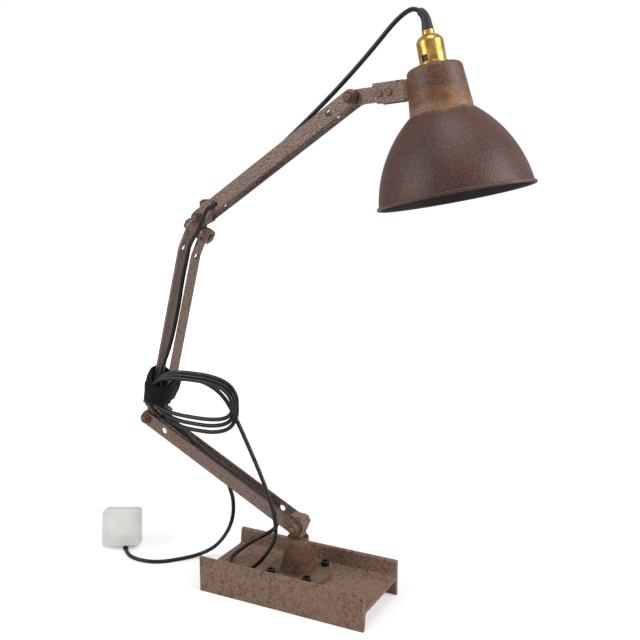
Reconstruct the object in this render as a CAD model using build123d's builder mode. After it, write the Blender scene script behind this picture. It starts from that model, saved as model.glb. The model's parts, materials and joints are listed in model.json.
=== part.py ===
from build123d import *
from math import cos, pi, radians, sin, sqrt, tan
import os

# Architect lamp on a length of rolled joist: three pairs of flat steel bars,
# two cast double knuckles, a spun steel shade on a brass lamp holder.
# Frame: X along the joist, -Y towards the front, Z up, millimetres.
# The origin is on the base swivel axis, at the level of the floor.

# Driving dimensions: the joist that serves as the base
joist_length = 220.0
joist_depth = 101.6
joist_flange_width = 44.5
joist_flange = 6.1
joist_web = 4.3
joist_root_radius = 2.6
joist_toe_taper = 1.6
joist_root_taper = 1.4
joist_toe_radius = 2.4

# Driving dimensions: the pedestal and its screws
pedestal_flange_radius = 40.5
pedestal_flange_height = 6.0
pedestal_foot_radius = 21.5
pedestal_neck_radius = 13.0
pedestal_height = 46.0
screw_circle_radius = 34.5
screw_radius = 3.0
screw_head_radius = 5.0
screw_head_height = 6.0
screw_socket_across = 5.0
spindle_radius = 6.0
spindle_nut_across = 19.0
spindle_nut_height = 8.0
spindle_washer_height = 2.0
running_clearance = 0.05
fit_clearance = 0.1

# Driving dimensions: the arms
arm_length = 240.0
bar_width = 17.0
bar_thickness = 3.0
bar_gap = 17.2
hole_radius = 4.0
hole_inset = 30.0
lower_arm_angle = 26.8
upper_arm_angle = 34.0
knuckle_angle = 26.0
bent_angle = 14.5
upper_heel_height = 5.0

# Driving dimensions: pivots and knuckles
bolt_radius = 4.0
bolt_head_radius = 6.6
bolt_head_height = 5.0
nut_across = 13.0
nut_height = 6.5
big_nut_across = 17.0
washer_radius = 8.5
washer_height = 1.6
bolt_end = 3.0
knuckle_width = 14.0
eye_radius = 9.5
knuckle_pitch = 17.0
pivot_height = 87.5
post_head_radius = 10.5
post_width = 15.0

# Driving dimensions: the head
tongue_height = 15.5
tongue_length = 50.0
tongue_thickness = 13.6
bracket_height = 21.5
bracket_width = 18.8
bracket_start = 26.0
bracket_end = 60.5
bracket_wall = 2.5
rivet_radius = 2.5
saddle_rivet_radius = 2.0
saddle_rivet_pitch = 11.0
saddle_depth = 14.0
head_angle = 5.6
shade_tilt = 12.7
shade_roll = 2.5
shade_wall = 1.2
neck_top_radius = 29.0
neck_low_radius = 33.2
neck_round = 5.0
neck_height = 47.0
dome_height = 88.5
dome_mid_radius = 62.0
dome_mid_drop = 80.0
rim_radius = 80.5
bead_radius = 1.7
neck_offset = 89.5
neck_rise = 28.7

# Driving dimensions: the brass lamp holder and the cord
holder_radius = 14.0
holder_skirt_radius = 15.6
holder_skirt_height = 4.0
holder_barrel_height = 23.0
holder_cap_height = 9.0
holder_nipple_radius = 6.4
holder_nipple_height = 5.5
socket_radius = 11.25
socket_depth = 21.0
socket_mouth = 22.0
sleeve_length = 8.5
sleeve_tip_radius = 4.25
cord_radius = 2.5
chamber_radius = 12.8
contact_pitch = 11.0
contact_radius = 1.8
window_height = 8.0
window_width = 7.0
window_turn = 15.0

# Driving dimensions: the plug
plug_width = 50.0
plug_length = 50.0
plug_back_height = 14.0
plug_face_height = 11.0
plug_lean = 12.0
plug_turn = 27.0
plug_distance = 171.2
pin_length = 17.7
flat_pin_width = 6.4
flat_pin_height = 4.0
upright_pin_width = 4.0
upright_pin_height = 8.0
pin_pitch = 22.2
pin_rise = 22.0
pin_margin = 15.0
plug_corner = 5.0
grommet_radius = 3.4
grommet_length = 12.0

# Driving dimensions: the strap and the coil of cord
strap_width = 20.0
strap_thickness = 2.4
strap_corner = 6.0
strap_start = 20.5
strap_left = 15.4
strap_right = 18.5
strap_front = 36.5
strap_back = 8.8
coil_turns = 3
coil_left = -190.0
coil_right = -71.5
coil_middle_z = 234.0
coil_start_y = -16.8
coil_pitch = 5.6
coil_drop = 41.0
coil_spread = 10.0
coil_rise = 32.0
coil_rise_step = 2.5
cord_back_y = -11.2
cord_right_x = -184.2

web_top = joist_flange_width / 2 + joist_web / 2
bar_offset = bar_gap / 2
bar_outside = bar_offset + bar_thickness


def direction(angle):
    """Unit vector in the lamp's own plane, at an angle above +X."""
    return Vector(cos(radians(angle)), 0, sin(radians(angle)))


up_knuckle = direction(90 - knuckle_angle)
across = direction(-knuckle_angle)
base_pivot = Vector(0, 0, pivot_height)
low_pivot = base_pivot + direction(180 - lower_arm_angle) * arm_length
low_swivel = low_pivot + up_knuckle * knuckle_pitch
bent_run = direction(90 - bent_angle) * (arm_length - 2 * hole_inset)
high_swivel = low_swivel + up_knuckle * (2 * hole_inset) + bent_run
high_pivot = high_swivel + up_knuckle * knuckle_pitch
head_pivot = high_pivot + direction(upper_arm_angle) * arm_length


def pivot_plane(point, y=0.0):
    """Plane across a pivot that runs along Y; its normal points to the back."""
    return Plane(origin=(point.X, y, point.Z), x_dir=(1, 0, 0), z_dir=(0, 1, 0))


def bar_plane(point, angle, y):
    """Plane of a bar that starts at a pivot; its normal points to the front."""
    return Plane(origin=(point.X, y, point.Z), x_dir=direction(angle), z_dir=(0, -1, 0))


def swivel_plane(point, along=0.0):
    """Plane across a swivel bolt; its normal points down and to the right."""
    return Plane(origin=point + across * along, x_dir=up_knuckle, z_dir=across)


def tongue_plane(y):
    """Plane of the tongue, along it from the head pivot; its normal points to the front."""
    return Plane(
        origin=(head_pivot.X, y, head_pivot.Z), x_dir=direction(head_angle), z_dir=(0, -1, 0)
    )


def saddle_plane(along):
    """Plane across the tongue at the bracket's end plate; its normal points to the neck."""
    out = direction(head_angle)
    return Plane(origin=head_pivot + out * (bracket_end + along), x_dir=(0, 1, 0), z_dir=out)


shade_up = Vector(
    -sin(radians(shade_tilt)), sin(radians(shade_roll)), cos(radians(shade_tilt))
).normalized()
shade_side = direction(shade_tilt)
neck_top = head_pivot + Vector(neck_offset, 0, neck_rise)
shade_plane = Plane(origin=neck_top, x_dir=shade_side, z_dir=shade_up)
shade_axis = Axis(shade_plane.origin, shade_up)
shade_profile_plane = Plane(
    origin=shade_plane.origin, x_dir=shade_side, z_dir=shade_side.cross(shade_up)
)
window_out = direction(0).rotate(Axis.Z, -90 - window_turn)
window_out = (window_out - shade_up * window_out.dot(shade_up)).normalized()
window_plane = Plane(
    origin=shade_plane.origin + window_out * 9, x_dir=shade_up.cross(window_out), z_dir=window_out
)
sleeve_start = holder_barrel_height + holder_cap_height + holder_nipple_height
rivet_places = [(bracket_start + 7, 0), (bracket_start + 18, 0)]
saddle_rivet_reach = 7.5

flat_pins = [(-pin_pitch / 2, pin_margin), (pin_pitch / 2, pin_margin)]
upright_pin = (0, pin_margin + pin_rise)
plug_out = Vector(
    sin(radians(plug_turn)) * cos(radians(plug_lean)),
    -cos(radians(plug_turn)) * cos(radians(plug_lean)),
    sin(radians(plug_lean)),
)
plug_side = Vector(cos(radians(plug_turn)), sin(radians(plug_turn)), 0)
plug_rest = Vector(-joist_length / 2 - plug_distance, 14.3, 0)
plug_plane = Plane(
    origin=plug_rest + plug_out * (plug_back_height + plug_face_height), x_dir=plug_side, z_dir=plug_out
)
grommet_plane = Plane(
    origin=(plug_rest.X + 19.2, plug_rest.Y - 19.8, grommet_radius + 0.1),
    x_dir=(0, 0, 1),
    z_dir=(-12, 12, 0.9),
)


def save(builder, label):
    """Label a finished piece and write it as one file."""
    builder.part.label = label
    export_step(builder.part, "parts/" + label + ".step")
    return builder.part


os.makedirs("parts", exist_ok=True)


def base_joist():
    """Rolled joist on its side: two tapered flanges stand up, the web is level."""
    half_flange = joist_flange_width / 2
    half_depth = joist_depth / 2
    toe = joist_flange - joist_toe_taper
    root = joist_flange + joist_root_taper
    with BuildPart() as joist:
        with BuildSketch(Plane.YZ.offset(-joist_length / 2)):
            for side in (-1, 1):
                with BuildLine():
                    Polyline(
                        (side * half_depth, 0),
                        (side * half_depth, joist_flange_width),
                        (side * (half_depth - toe), joist_flange_width),
                        (side * (half_depth - root), half_flange),
                        (side * (half_depth - toe), 0),
                        close=True,
                    )
                make_face()
            with Locations((0, half_flange)):
                Rectangle(joist_depth - 2 * joist_flange, joist_web)
        extrude(amount=joist_length)
        inner = joist.edges().filter_by(Axis.X)
        roots = inner.filter_by(
            lambda e: abs(abs(e.center().Z - half_flange) - joist_web / 2) < 0.1
        )
        fillet(roots, joist_root_radius)
        toes = joist.edges().filter_by(Axis.X).filter_by(
            lambda e: abs(abs(e.center().Z - half_flange) - half_flange) < 0.1
            and abs(e.center().Y) < half_depth - 1
        )
        fillet(toes, joist_toe_radius)
        with Locations((0, 0, web_top)):
            with PolarLocations(screw_circle_radius, 4, start_angle=45):
                Hole(screw_radius + fit_clearance, depth=2 * joist_web)
            Hole(spindle_nut_across * 0.62, depth=2 * joist_web)
    return save(joist, "base_joist")


def pedestal():
    """Turned and cast pedestal: a round flange under a tapered column."""
    foot = web_top
    shoulder = foot + pedestal_flange_height
    top = foot + pedestal_height
    with BuildPart() as column:
        with BuildSketch(Plane.XZ):
            with BuildLine():
                Polyline(
                    (0, foot),
                    (pedestal_flange_radius, foot),
                    (pedestal_flange_radius, shoulder),
                    (pedestal_foot_radius, shoulder),
                    (pedestal_foot_radius, shoulder + 6),
                )
                Line((pedestal_foot_radius, shoulder + 6), (pedestal_neck_radius + 1, top - 6))
                Line((pedestal_neck_radius + 1, top - 6), (pedestal_neck_radius, top - 5))
                Line((pedestal_neck_radius, top - 5), (pedestal_neck_radius, top))
                Line((pedestal_neck_radius, top), (0, top))
                Line((0, top), (0, foot))
            make_face()
        revolve(axis=Axis.Z)
        rims = column.edges().filter_by(GeomType.CIRCLE)
        flange_rims = rims.filter_by(lambda e: abs(e.radius - pedestal_flange_radius) < 0.1)
        fillet(flange_rims.sort_by(Axis.Z)[-1], 1.5)
        fillet(
            rims.filter_by(
                lambda e: abs(e.radius - pedestal_foot_radius) < 0.1 and e.center().Z > shoulder + 1
            ),
            3.0,
        )
        with Locations((0, 0, top)):
            Hole(spindle_radius + running_clearance, depth=2 * pedestal_height)
        with Locations((0, 0, foot)):
            Cylinder(
                spindle_nut_across * 0.62,
                spindle_nut_height + spindle_washer_height + 4,
                align=(Align.CENTER, Align.CENTER, Align.MIN),
                mode=Mode.SUBTRACT,
            )
        with Locations((0, 0, shoulder)):
            with PolarLocations(screw_circle_radius, 4, start_angle=45):
                Hole(screw_radius + fit_clearance, depth=2 * pedestal_flange_height)
    return save(column, "pedestal")


def flange_screws():
    """Four socket cap screws that hold the pedestal down on the web."""
    seat = web_top + pedestal_flange_height
    grip = pedestal_flange_height + joist_web + 3
    with BuildPart() as screws:
        with BuildSketch(Plane.XY.offset(seat)):
            with PolarLocations(screw_circle_radius, 4, start_angle=45):
                Circle(screw_head_radius)
        extrude(amount=screw_head_height)
        chamfer(screws.edges().group_by(Axis.Z)[-1], 0.6)
        with BuildSketch(Plane.XY.offset(seat)):
            with PolarLocations(screw_circle_radius, 4, start_angle=45):
                Circle(screw_radius)
        extrude(amount=-grip)
        with BuildSketch(Plane.XY.offset(seat + screw_head_height)):
            with PolarLocations(screw_circle_radius, 4, start_angle=45):
                RegularPolygon(screw_socket_across / 2, 6, major_radius=False)
        extrude(amount=-3.2, mode=Mode.SUBTRACT)
    return save(screws, "flange_screws")


def swivel_post():
    """Forged post: a flat-sided head for the lower arm on a round collar and spindle."""
    collar_foot = web_top + pedestal_height
    collar_top = collar_foot + 3.5
    nut_top = web_top + spindle_nut_height + spindle_washer_height + 4
    with BuildPart() as post:
        with BuildSketch(pivot_plane(base_pivot, -knuckle_width / 2)):
            Circle(post_head_radius)
            with Locations((0, pivot_height - collar_top)):
                Rectangle(post_width, 2 * (pivot_height - collar_top), align=(Align.CENTER, Align.MAX))
        extrude(amount=knuckle_width)
        with BuildSketch(Plane.XY.offset(collar_foot)):
            Circle(pedestal_neck_radius)
        extrude(amount=collar_top - collar_foot)
        fillet(post.edges().filter_by(GeomType.CIRCLE).filter_by(
            lambda e: abs(e.radius - pedestal_neck_radius) < 0.1 and e.center().Z > collar_foot + 1
        ), 1.0)
        with BuildSketch(Plane.XY.offset(collar_foot)):
            Circle(spindle_radius)
        extrude(amount=-(collar_foot - web_top - 2))
        with BuildSketch(pivot_plane(base_pivot, -knuckle_width)):
            Circle(bolt_radius + running_clearance)
        extrude(amount=2 * knuckle_width, mode=Mode.SUBTRACT)
    return save(post, "swivel_post")


def swivel_nut():
    """Lock nut on the spindle, hidden in the counterbore under the pedestal."""
    top = web_top + spindle_nut_height + 2
    with BuildPart() as nut:
        with BuildSketch(Plane.XY.offset(top)):
            RegularPolygon(spindle_nut_across / 2, 6, major_radius=False)
            Circle(spindle_radius + fit_clearance, mode=Mode.SUBTRACT)
        extrude(amount=-spindle_nut_height)
    return save(nut, "swivel_nut")


def swivel_washer():
    """Spring washer between the lock nut and the roof of the counterbore."""
    low = web_top + spindle_nut_height + 2
    high = web_top + spindle_nut_height + spindle_washer_height + 4
    with BuildPart() as washer:
        with BuildSketch(Plane.XY.offset(low)):
            Circle(spindle_nut_across / 2)
            Circle(spindle_radius + fit_clearance, mode=Mode.SUBTRACT)
        extrude(amount=high - low)
    return save(washer, "swivel_washer")


def straight_bar(start, angle, side, label, heel=False):
    """One flat bar of the lower or upper arm, with two pivot holes and two spare holes."""
    back = bar_outside if side > 0 else -bar_offset
    plane = bar_plane(start, angle, back)
    with BuildPart() as bar:
        with BuildSketch(plane):
            with Locations((arm_length / 2, 0)):
                SlotCenterToCenter(arm_length, bar_width)
            if heel:
                with BuildLine():
                    Polyline(
                        (9, bar_width / 2 - 2),
                        (14, bar_width / 2 + upper_heel_height),
                        (19, bar_width / 2 + upper_heel_height),
                        (29, bar_width / 2 - 1),
                        close=True,
                    )
                make_face()
            with Locations((0, 0), (hole_inset, 0), (arm_length - hole_inset, 0), (arm_length, 0)):
                Circle(hole_radius + fit_clearance, mode=Mode.SUBTRACT)
        extrude(amount=bar_thickness)
        long_edges = bar.edges().filter_by(GeomType.LINE).filter_by(
            lambda e: e.length > arm_length / 2
        )
        fillet(long_edges, 0.5)
    return save(bar, label)


def bent_bar(side, label):
    """One bar of the middle arm, set over sideways at its spare holes."""
    near = side * bar_offset
    far = side * bar_outside
    reach = bar_width / 2 + 2
    low_end = low_swivel - up_knuckle * reach
    low_bend = low_swivel + up_knuckle * hole_inset
    high_bend = high_swivel - up_knuckle * hole_inset
    high_end = high_swivel + up_knuckle * reach
    span = (high_swivel - low_swivel).dot(up_knuckle)
    path = [low_end, low_bend, high_bend, high_end]
    inner = [p + across * near for p in path]
    outer = [p + across * far for p in path]
    with BuildPart() as bar:
        with BuildSketch(Plane.XZ.offset(-bar_width / 2)):
            with BuildLine():
                Polyline(*[(p.X, p.Z) for p in inner + outer[::-1]], close=True)
            make_face()
        extrude(amount=bar_width)
        bends = bar.edges().filter_by(Axis.Y).filter_by(
            lambda e: abs(Vector(e.center().X, 0, e.center().Z).sub(low_bend).length) < 14
            or abs(Vector(e.center().X, 0, e.center().Z).sub(high_bend).length) < 14
        )
        fillet(bends, 5.0)
        with BuildSketch(swivel_plane(low_swivel, -arm_length / 4)):
            with Locations((span / 2, 0)):
                SlotCenterToCenter(span, bar_width)
        extrude(amount=arm_length / 2, mode=Mode.INTERSECT)
        with BuildSketch(swivel_plane(low_swivel, -arm_length / 4)):
            with Locations((0, 0), (hole_inset, 0), (span - hole_inset, 0), (span, 0)):
                Circle(hole_radius + fit_clearance)
        extrude(amount=arm_length / 2, mode=Mode.SUBTRACT)
    return save(bar, label)


def bolts(planes, label, domed=True):
    """Pivot bolts: a head behind each plane, a shank along its normal."""
    grip = 2 * bar_outside
    shank = grip + washer_height + nut_height + bolt_end
    with BuildPart() as pieces:
        for plane in planes:
            with BuildSketch(plane.offset(-bolt_head_height)):
                if domed:
                    Circle(bolt_head_radius)
                else:
                    RegularPolygon(nut_across / 2, 6, major_radius=False)
            extrude(amount=bolt_head_height)
            with BuildSketch(plane):
                Circle(bolt_radius)
            extrude(amount=shank)
        for plane in planes:
            tip = pieces.edges().filter_by(GeomType.CIRCLE).filter_by(
                lambda e: (e.arc_center - (plane.origin + plane.z_dir * shank)).length < 0.1
            )
            chamfer(tip, 0.7)
            if domed:
                rim = pieces.edges().filter_by(GeomType.CIRCLE).filter_by(
                    lambda e: (e.arc_center - (plane.origin - plane.z_dir * bolt_head_height)).length < 0.1
                )
                fillet(rim, 2.0)
    return save(pieces, label)


def nuts(planes, across_flats, label):
    """Hexagon nuts on round washers, each seated on its plane."""
    with BuildPart() as pieces:
        for plane in planes:
            with BuildSketch(plane):
                Circle(washer_radius)
                Circle(bolt_radius + fit_clearance, mode=Mode.SUBTRACT)
            extrude(amount=washer_height)
            with BuildSketch(plane.offset(washer_height)):
                RegularPolygon(across_flats / 2, 6, major_radius=False)
                Circle(bolt_radius + fit_clearance, mode=Mode.SUBTRACT)
            extrude(amount=nut_height)
    return save(pieces, label)


def friction_washers(seats, label):
    """Fibre washers, one each side of what turns between two bars."""
    with BuildPart() as washers:
        for plane, width in seats:
            for side in (-1, 1):
                with BuildSketch(plane.offset(side * width / 2)):
                    Circle(washer_radius - 0.5)
                    Circle(bolt_radius + fit_clearance, mode=Mode.SUBTRACT)
                extrude(amount=side * (bar_offset - width / 2))
    return save(washers, label)


def knuckle(point, turned, label):
    """Cast double knuckle: one eye along Y, the other square to it, 17 mm away."""
    eye_y = point
    eye_across = point + up_knuckle * (knuckle_pitch * turned)
    with BuildPart() as cast:
        with BuildSketch(pivot_plane(eye_y, -knuckle_width / 2)):
            Circle(eye_radius)
        extrude(amount=knuckle_width)
        with BuildSketch(swivel_plane(eye_across, -knuckle_width / 2)):
            Circle(eye_radius)
        extrude(amount=knuckle_width)
        neck = Plane(origin=eye_y, x_dir=across, z_dir=up_knuckle * turned)
        with BuildSketch(neck):
            RectangleRounded(knuckle_width, knuckle_width, 2.5)
        extrude(amount=knuckle_pitch)
        with BuildSketch(pivot_plane(eye_y, -knuckle_width)):
            Circle(bolt_radius + running_clearance)
        extrude(amount=2 * knuckle_width, mode=Mode.SUBTRACT)
        with BuildSketch(swivel_plane(eye_across, -knuckle_width)):
            Circle(bolt_radius + running_clearance)
        extrude(amount=2 * knuckle_width, mode=Mode.SUBTRACT)
    return save(cast, label)


def tongue():
    """Flat steel tongue between the upper bars, clamped by the head stud."""
    with BuildPart() as piece:
        with BuildSketch(tongue_plane(tongue_thickness / 2)):
            Circle(tongue_height / 2)
            Rectangle(tongue_length, tongue_height, align=(Align.MIN, Align.CENTER))
            Circle(bolt_radius + running_clearance, mode=Mode.SUBTRACT)
            with Locations(*rivet_places):
                Circle(rivet_radius + fit_clearance, mode=Mode.SUBTRACT)
        extrude(amount=tongue_thickness)
    return save(piece, "head_tongue")


def shade_bracket():
    """Folded bracket: two cheeks hold the tongue, an end plate meets the saddle."""
    half = tongue_thickness / 2 + fit_clearance
    corner = 4.5
    with BuildPart() as piece:
        for side in (-1, 1):
            with BuildSketch(tongue_plane(-side * half)):
                with BuildLine():
                    Polyline(
                        (bracket_start, bracket_height / 2),
                        (bracket_end, bracket_height / 2),
                        (bracket_end, -bracket_height / 2),
                        (bracket_start + corner, -bracket_height / 2),
                        (bracket_start, -bracket_height / 2 + corner),
                        close=True,
                    )
                make_face()
                with Locations(*rivet_places):
                    Circle(rivet_radius + fit_clearance, mode=Mode.SUBTRACT)
            extrude(amount=side * bracket_wall)
        with BuildSketch(tongue_plane(half + bracket_wall)):
            with Locations((bracket_end - bracket_wall, 0)):
                Rectangle(bracket_wall, bracket_height, align=(Align.MIN, Align.CENTER))
        extrude(amount=2 * (half + bracket_wall))
        with BuildSketch(saddle_plane(-bracket_wall - 1)):
            with Locations((0, saddle_rivet_pitch / 2), (0, -saddle_rivet_pitch / 2)):
                Circle(saddle_rivet_radius + fit_clearance)
        extrude(amount=bracket_wall + 2, mode=Mode.SUBTRACT)
    return save(piece, "shade_bracket")


def bracket_rivets():
    """Two rivets with domed heads through both cheeks and the tongue."""
    reach = tongue_thickness / 2 + fit_clearance + bracket_wall
    with BuildPart() as piece:
        with BuildSketch(tongue_plane(reach)):
            with Locations(*rivet_places):
                Circle(rivet_radius)
        extrude(amount=2 * reach)
        for side in (-1, 1):
            with BuildSketch(tongue_plane(-side * reach)):
                with Locations(*rivet_places):
                    Circle(rivet_radius * 1.7)
            extrude(amount=side * 1.6, taper=30)
    return save(piece, "bracket_rivets")


def saddle():
    """Curved pad between the bracket and the neck, cut to the neck's cone."""
    with BuildPart() as piece:
        with BuildSketch(saddle_plane(0)):
            RectangleRounded(bracket_width, bracket_height, 3)
            with Locations((0, saddle_rivet_pitch / 2), (0, -saddle_rivet_pitch / 2)):
                Circle(saddle_rivet_radius + fit_clearance, mode=Mode.SUBTRACT)
        extrude(amount=saddle_depth)
        with BuildSketch(shade_profile_plane):
            with BuildLine():
                Polyline(
                    (0, 20), (neck_top_radius - 1, 20), (neck_top_radius, 0),
                    (neck_low_radius, -neck_height), (0, -neck_height), close=True,
                )
            make_face()
        revolve(axis=shade_axis, mode=Mode.SUBTRACT)
    return save(piece, "shade_saddle")


def saddle_rivets():
    """Two rivets that hold the saddle and the bracket to the neck."""
    with BuildPart() as piece:
        with BuildSketch(saddle_plane(-bracket_wall)):
            with Locations((0, saddle_rivet_pitch / 2), (0, -saddle_rivet_pitch / 2)):
                Circle(saddle_rivet_radius)
        extrude(amount=bracket_wall + saddle_rivet_reach)
        for start, way in ((-bracket_wall, -1), (saddle_rivet_reach, 1)):
            with BuildSketch(saddle_plane(start)):
                with Locations((0, saddle_rivet_pitch / 2), (0, -saddle_rivet_pitch / 2)):
                    Circle(saddle_rivet_radius * 1.8)
            extrude(amount=way * 1.5, taper=30)
    return save(piece, "saddle_rivets")


def shade_neck():
    """Tapered neck of the shade: a flat top with the holder's hole, open below."""
    with BuildPart() as piece:
        for inset, mode in ((0, Mode.ADD), (shade_wall, Mode.SUBTRACT)):
            with BuildSketch(shade_profile_plane):
                with BuildLine():
                    Line((0, -inset), (neck_top_radius - neck_round, -inset))
                    RadiusArc(
                        (neck_top_radius - neck_round, -inset),
                        (neck_top_radius - inset, -neck_round),
                        neck_round - inset,
                    )
                    Line((neck_top_radius - inset, -neck_round), (neck_low_radius - inset, -neck_height))
                    Line((neck_low_radius - inset, -neck_height), (0, -neck_height))
                    Line((0, -neck_height), (0, -inset))
                make_face()
            revolve(axis=shade_axis, mode=mode)
        with BuildSketch(shade_plane.offset(shade_wall)):
            Circle(holder_radius + fit_clearance)
        extrude(amount=-3 * shade_wall, mode=Mode.SUBTRACT)
        with BuildSketch(saddle_plane(0)):
            with Locations((0, saddle_rivet_pitch / 2), (0, -saddle_rivet_pitch / 2)):
                Circle(saddle_rivet_radius + fit_clearance)
        extrude(amount=saddle_rivet_reach + shade_wall, mode=Mode.SUBTRACT)
    return save(piece, "shade_neck")


def shade():
    """Spun steel bell under the neck, one sheet thick, with a rolled rim."""
    low = -(neck_height + dome_height - bead_radius)
    with BuildPart() as piece:
        for inset, mode in ((0, Mode.ADD), (shade_wall, Mode.SUBTRACT)):
            with BuildSketch(shade_profile_plane):
                with BuildLine():
                    Line((0, -neck_height), (neck_low_radius - inset, -neck_height))
                    ThreePointArc(
                        (neck_low_radius - inset, -neck_height),
                        (dome_mid_radius - inset * 0.8, -dome_mid_drop - inset * 0.6),
                        (rim_radius - inset, low),
                    )
                    Line((rim_radius - inset, low), (0, low))
                    Line((0, low), (0, -neck_height))
                make_face()
            revolve(axis=shade_axis, mode=mode)
        with BuildSketch(shade_profile_plane):
            with Locations((rim_radius + bead_radius - shade_wall, low)):
                Circle(bead_radius)
        revolve(axis=shade_axis)
    return save(piece, "shade")


def holder_barrel():
    """Brass barrel: bayonet socket below, a windowed chamber for the block above."""
    with BuildPart() as piece:
        with BuildSketch(shade_plane.offset(-socket_mouth)):
            Circle(holder_radius)
        extrude(amount=socket_mouth + holder_barrel_height)
        with BuildSketch(shade_plane.offset(-socket_mouth)):
            Circle(socket_radius)
        extrude(amount=socket_depth, mode=Mode.SUBTRACT)
        with BuildSketch(shade_plane):
            Circle(chamber_radius)
        extrude(amount=holder_barrel_height, mode=Mode.SUBTRACT)
        with BuildSketch(shade_plane.offset(-socket_mouth)):
            with PolarLocations(0, 2, start_angle=90):
                Rectangle(holder_radius * 2.2, 2.6)
        extrude(amount=8, mode=Mode.SUBTRACT)
        with BuildSketch(shade_plane.offset(-socket_mouth + socket_depth - 1)):
            with PolarLocations(contact_pitch / 2, 2):
                Circle(contact_radius + fit_clearance)
        extrude(amount=5, mode=Mode.SUBTRACT)
        with BuildSketch(window_plane):
            with Locations((0, window_height)):
                Rectangle(window_width, window_width)
        extrude(amount=holder_radius + 2, mode=Mode.SUBTRACT)
    return save(piece, "holder_barrel")


def holder_rings():
    """Brass shoulder ring above the neck and shade ring below it."""
    with BuildPart() as skirt:
        with BuildSketch(shade_plane):
            Circle(holder_skirt_radius)
            Circle(holder_radius + fit_clearance, mode=Mode.SUBTRACT)
        extrude(amount=holder_skirt_height)
        fillet(skirt.edges().sort_by(Axis(shade_plane.origin, shade_plane.z_dir)).group_by(
            Axis(shade_plane.origin, shade_plane.z_dir))[-1].sort_by(SortBy.LENGTH)[-1], 1.2)
    save(skirt, "holder_shoulder_ring")
    with BuildPart() as ring:
        with BuildSketch(shade_plane.offset(-shade_wall)):
            Circle(holder_skirt_radius + 3)
            with PolarLocations(holder_skirt_radius + 3.6, 12):
                Circle(1.6, mode=Mode.SUBTRACT)
            Circle(holder_radius + fit_clearance, mode=Mode.SUBTRACT)
        extrude(amount=-4)
    save(ring, "shade_ring")


def holder_inside():
    """Moulded block in the chamber, and its two spring contacts pressed level."""
    with BuildPart() as block:
        with BuildSketch(shade_plane):
            Circle(chamber_radius - fit_clearance)
            with PolarLocations(contact_pitch / 2, 2):
                Circle(contact_radius + fit_clearance, mode=Mode.SUBTRACT)
        extrude(amount=holder_barrel_height - 5)
        with BuildSketch(window_plane):
            with Locations((0, window_height)):
                Circle(2.2)
        extrude(amount=holder_radius - 3.2 - 9)
    save(block, "holder_block")
    with BuildPart() as contacts:
        with BuildSketch(shade_plane.offset(-socket_mouth + socket_depth)):
            with PolarLocations(contact_pitch / 2, 2):
                Circle(contact_radius)
        extrude(amount=socket_mouth - socket_depth + 8)
    save(contacts, "holder_contacts")


def holder_cap():
    """Domed brass cap that screws down over the barrel, with a bored neck."""
    base = holder_barrel_height
    top = base + holder_cap_height
    with BuildPart() as piece:
        with BuildSketch(shade_profile_plane):
            with BuildLine():
                Line((0, base), (holder_radius, base))
                Line((holder_radius, base), (holder_radius, base + 2.2))
                ThreePointArc(
                    (holder_radius, base + 2.2),
                    (holder_radius - 2.6, top - 2.4),
                    (holder_nipple_radius + 0.6, top),
                )
                Line((holder_nipple_radius + 0.6, top), (0, top))
                Line((0, top), (0, base))
            make_face()
        revolve(axis=shade_axis)
        with BuildSketch(shade_plane.offset(base)):
            Circle(cord_radius + fit_clearance)
        extrude(amount=holder_cap_height, mode=Mode.SUBTRACT)
    save(piece, "holder_cap")
    with BuildPart() as nipple:
        with BuildSketch(shade_plane.offset(top)):
            Circle(holder_nipple_radius)
            Circle(cord_radius + fit_clearance, mode=Mode.SUBTRACT)
        extrude(amount=holder_nipple_height)
        chamfer(nipple.edges().filter_by(GeomType.CIRCLE).filter_by(
            lambda e: e.radius > holder_nipple_radius - 0.1), 0.6)
    save(nipple, "holder_nipple")


def strain_relief():
    """Tapered rubber sleeve on the brass nipple."""
    with BuildPart() as piece:
        with BuildSketch(shade_plane.offset(sleeve_start)):
            Circle(holder_nipple_radius - 0.8)
        with BuildSketch(shade_plane.offset(sleeve_start + sleeve_length)):
            Circle(sleeve_tip_radius)
        loft()
    save(piece, "strain_relief")


def strap():
    """Black hook-and-loop band round the middle bars and the bundle of cord."""
    inner_x = strap_right + strap_left
    inner_y = strap_front + strap_back
    plane = Plane(
        origin=low_swivel + up_knuckle * strap_start, x_dir=across, z_dir=up_knuckle
    )
    with BuildPart() as band:
        with BuildSketch(plane):
            with Locations(((strap_right - strap_left) / 2, (strap_back - strap_front) / 2)):
                RectangleRounded(
                    inner_x + 2 * strap_thickness, inner_y + 2 * strap_thickness, strap_corner
                )
                RectangleRounded(inner_x, inner_y, strap_corner - strap_thickness, mode=Mode.SUBTRACT)
        extrude(amount=strap_width)
    return save(band, "cord_strap")


def cord(label, *stops):
    """One stretch of cord: straight runs joined by tangent arcs through the given stops."""
    points = [Vector(*stop) for stop in stops]
    runs = [(after - before).length for before, after in zip(points, points[1:])]
    shares = [0.9 * runs[0]] + [0.45 * run for run in runs[1:-1]] + [0.9 * runs[-1]]
    radii = []
    for index in range(1, len(points) - 1):
        turn = (points[index] - points[index - 1]).get_angle(points[index + 1] - points[index])
        radii.append(min(shares[index - 1], shares[index]) / tan(radians(turn / 2)))
    with BuildPart() as piece:
        with BuildLine() as route:
            FilletPolyline(*points, radius=radii)
        with BuildSketch(Plane(origin=points[0], z_dir=points[1] - points[0])):
            Circle(cord_radius)
        sweep()
    length = sum(edge.length for edge in route.edges())
    drift = piece.part.volume / (length * pi * cord_radius ** 2) - 1
    print(label, "length", round(length, 1), "drift", round(drift, 4), "radii", [round(r) for r in radii])
    save(piece, label)
    return points[-1], (points[-1] - points[-2]).normalized()


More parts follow.
